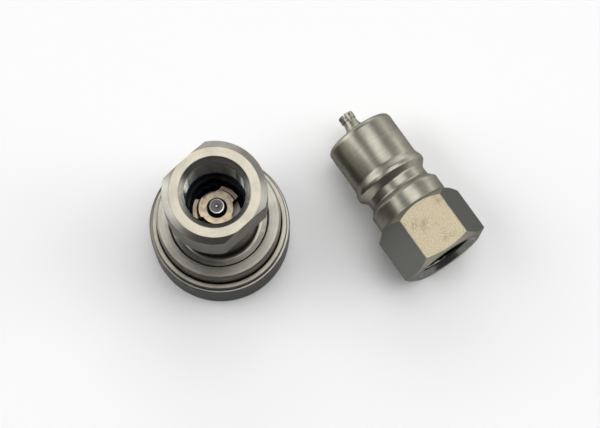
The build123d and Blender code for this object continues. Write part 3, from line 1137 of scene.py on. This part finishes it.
@dataclass
class Softbox:
    """A wide, soft light a long way off, so that it lights the whole floor alike.

    Attributes:
        name: the light's name.
        lean: how far it leans from straight overhead, in degrees.
        heading: the direction it leans to, in degrees from +X.
        width: its apparent width in degrees.
        strength: light falling on a surface that faces it.
    """

    name: str
    lean: float
    heading: float
    width: float
    strength: float

    def build(self) -> None:
        """Put the light in the scene."""
        data = bpy.data.lights.new(self.name, "SUN")
        data.energy = self.strength
        data.angle = math.radians(self.width)
        lamp = bpy.data.objects.new(self.name, data)
        lean, heading = math.radians(self.lean), math.radians(self.heading)
        across = math.sin(lean)
        towards = Vector((across * math.cos(heading), across * math.sin(heading), math.cos(lean)))
        lamp.rotation_euler = towards.to_track_quat("Z", "Y").to_euler()
        lamp.location = towards
        bpy.context.scene.collection.objects.link(lamp)


@dataclass
class Studio:
    """Pale floor, soft light and camera.

    Attributes:
        floor_colour: its colour.
        floor_half: half its width in metres.
        surround: strength of the even light from all round.
        horizon: strength of the brighter band low down.
        rim: strength added to it close to the ground.
        dim_heading: the direction that the brighter band leaves out, in degrees from +X.
        camera_at: the camera's place in metres.
        camera_turn: its turns in degrees about X, Y and its own line of sight, the last one first.
        lens: focal length in millimetres.
        sensor: width of the sensor in millimetres.
    """

    floor_colour: Colour = (0.95, 0.95, 0.95)
    floor_half: float = 6.0
    surround: float = 0.12
    horizon: float = 0.8
    rim: float = 1.3
    dim_heading: float = -37.0
    camera_at: tuple[float, float, float] = (0.1162, -0.0537, 0.6784)
    camera_turn: tuple[float, float, float] = (6.628, 8.913, 55.095)
    lens: float = 126.0
    sensor: float = 36.0
    softboxes: list[Softbox] = field(
        default_factory=lambda: [
            Softbox("overhead_softbox", 16, 100, 44, 1.2),
            Softbox("side_softbox", 38, -102, 22, 0.26),
            Softbox("left_softbox", 55, -132, 40, 0.92),
            Softbox("right_softbox", 50, 57, 38, 0.58),
            Softbox("back_softbox", 62, 146, 40, 0.24),
        ]
    )

    def sky(self) -> bpy.types.World:
        """The light from all round, with a brighter band low down on three sides.

        Returns:
            A world whose strength is surround + (horizon * low + rim * lowest) * side, where low rises as a
            direction sinks from 41 to 70 degrees off straight up, lowest as it sinks from 72 to 84 degrees,
            and side falls towards the dim heading.
        """
        recipe = Recipe(bpy.data.worlds.new("surround"))
        towards = recipe.node("TexCoord", {}, {}, "Generated")
        dim = math.radians(self.dim_heading)
        side = recipe.vector("DOT_PRODUCT", towards, (-math.cos(dim), -math.sin(dim), 0.0), "Value")
        up = recipe.node("SeparateXYZ", {}, {0: towards}, 2)
        band = self.horizon * (1 - up.ramp(0.35, 0.75)) + self.rim * (1 - up.ramp(0.1, 0.3))
        strength = self.surround + band * side.ramp(-0.35, 0.3)
        light = recipe.node("Background", {}, {"Color": (1.0, 1.0, 1.0, 1.0), "Strength": strength})
        recipe.close(light, "OutputWorld")
        return recipe.owner

    def build(self) -> None:
        """Put the floor, the lights, the world and the camera in the scene."""
        scene = bpy.context.scene
        mesh = bpy.data.meshes.new("studio_floor")
        size = self.floor_half
        corners = [(-size, -size, 0), (size, -size, 0), (size, size, 0), (-size, size, 0)]
        mesh.from_pydata(corners, [], [(0, 1, 2, 3)])
        floor = bpy.data.objects.new("studio_floor", mesh)
        scene.collection.objects.link(floor)
        paper = {"Base Color": (*self.floor_colour, 1.0), "Roughness": 0.9, "Specular IOR Level": 0.0}
        mesh.materials.append(Recipe("pale_paper").finish(paper))
        for softbox in self.softboxes:
            softbox.build()
        scene.world = self.sky()
        scene.view_settings.view_transform = "Standard"
        data = bpy.data.cameras.new("camera")
        data.sensor_width = self.sensor
        data.lens = self.lens
        data.clip_start = 0.01
        camera = bpy.data.objects.new("camera", data)
        x, y, roll = (math.radians(a) for a in self.camera_turn)
        turn = Matrix.Rotation(x, 4, "X") @ Matrix.Rotation(y, 4, "Y") @ Matrix.Rotation(roll, 4, "Z")
        camera.matrix_world = Matrix.Translation(self.camera_at) @ turn
        scene.collection.objects.link(camera)
        scene.camera = camera


# ---- The object ----


def turning_axes() -> tuple[Turning, Turning]:
    """The socket's and the plug's turning axes, from the record's mounts."""
    mounts = {m["name"]: m for m in frame["record"]["mounts"]}
    nose = mounts["plug_nose"]
    along = -Vector(nose["axis"])
    nose_half = (Plug.nose_round + Plug.nose_end) / 2 * MM
    origin = Vector(nose["pos_m"]) - along * nose_half
    up = along.cross(Vector((0, 1, 0)))
    flat = math.radians(HEAD_FLAT_ANGLE)
    socket = Turning(Vector((0, 0, 0)), Vector((0, 0, 1)), Vector((math.cos(flat), math.sin(flat), 0)))
    return socket, Turning(origin, along, up)


def band_steels(half: str, turning: Turning, wall: Colour, bore: Colour, gloss: float) -> Dress:
    """The steel of each stretch of a half's outlines.

    Args:
        half: "socket" or "plug".
        turning: the half's axis.
        wall: colour of its outside.
        bore: colour of its port.
        gloss: roughness of its outside.

    Returns:
        The material of each band.
    """
    steels = {
        # painted light: end faces take a lighter copy of the steel, standing in for the overhead light that
        # they reflect
        Band.FACE: TurnedSteel("faced", (0.36, 0.33, 0.27), (0.19, 0.178, 0.15), 0.28, stain=0.45),
        Band.WALL: TurnedSteel("turned", wall, (0.14, 0.135, 0.12), gloss, glance=0.4),
        Band.BORE: TurnedSteel("threaded", bore, (0.12, 0.12, 0.113), 0.2),
        # painted shade: the chamber, its throat and the sleeve's hidden recesses take a near-black blue copy
        # of the steel that stands in for the shade inside them
        Band.DEEP: TurnedSteel("chamber", (0.01, 0.016, 0.026), (0.005, 0.008, 0.015), 0.42),
        Band.FLAT: MilledSteel("milled"),
        # painted shade: a dark copy of the steel on the flat of the stem's end
        Band.STEM: TurnedSteel("stem_end", (0.06, 0.06, 0.06), (0.04, 0.04, 0.04)),
        # painted highlight: a light copy on the stem end's rim and centre mark
        Band.MARK: TurnedSteel("stem_rim", (0.6, 0.6, 0.58), (0.5, 0.5, 0.5)),
    }
    return {band: replace(s, name=f"{half}_{s.name}_steel").dress(turning) for band, s in steels.items()}


def main() -> None:
    """Build the coupling's looks, half by half, and the studio round it."""
    logging.basicConfig(level=logging.INFO, format="%(name)s: %(message)s")
    socket_axis, plug_axis = turning_axes()
    # painted light and shade: the socket's port takes a lighter copy of the steel to brighten the streaks in
    # its thread, the plug's port a darker copy that stands in for the shade in its mouth
    for half, turning, wall, bore, gloss in (
        ("socket", socket_axis, (0.3, 0.288, 0.25), (0.4, 0.39, 0.36), 0.27),
        ("plug", plug_axis, (0.335, 0.318, 0.262), (0.16, 0.158, 0.148), 0.31),
    ):
        dress = band_steels(half, turning, wall, bore, gloss)
        guide = PassivatedSheet(f"{half}_guide_sheet").dress(turning)
        wire = PlainMetal(f"{half}_spring_wire", (0.3, 0.29, 0.27)).dress(turning)
        # near-black spring steel, made darker still as painted shade so that the guide's ring is lost in the
        # shade of the chamber
        ring = PlainMetal(f"{half}_ring_spring_steel", (0.008, 0.01, 0.014), gloss=0.5).dress(turning)
        rubber = Moulded(f"{half}_seal_rubber", (0.012, 0.012, 0.013), (0.05, 0.05, 0.048)).dress(turning)
        if half == "socket":
            socket = Socket(turning)
            socket.build(dress)
            valve_axis = Turning(Vector((0, 0, socket.valve_z * MM)), turning.axis, turning.zero)
            Valve("socket", valve_axis, tip=1.8, knob=0.8).build(dress, wire, redraw=True)
            white = Moulded("backup_fluoropolymer", (0.78, 0.77, 0.73), (0.55, 0.53, 0.48), 0.4)
            chrome = PlainMetal("ball_chrome_steel", (0.62, 0.61, 0.6), gloss=0.1, depth=0.0008)
            restyle(white.dress(turning), "backup_ring")
            restyle(chrome.dress(turning), *(f"locking_ball_{i}" for i in range(1, BALLS + 1)))
            restyle(rubber, "body_joint_o_ring", "interface_o_ring")
            restyle(ring, "sleeve_retaining_ring")
            socket.sleeve_spring().build(turning, wire)
        else:
            Plug(turning).build(dress)
            Valve("plug", turning, tip=7.4, knob=2.3).build(dress, wire, redraw=False)
        restyle(rubber, f"{half}_poppet_seal")
        restyle(guide, f"{half}_valve_guide")
        restyle(ring, f"{half}_guide_ring")
    Studio().build()


if __name__ == "__main__":
    main()
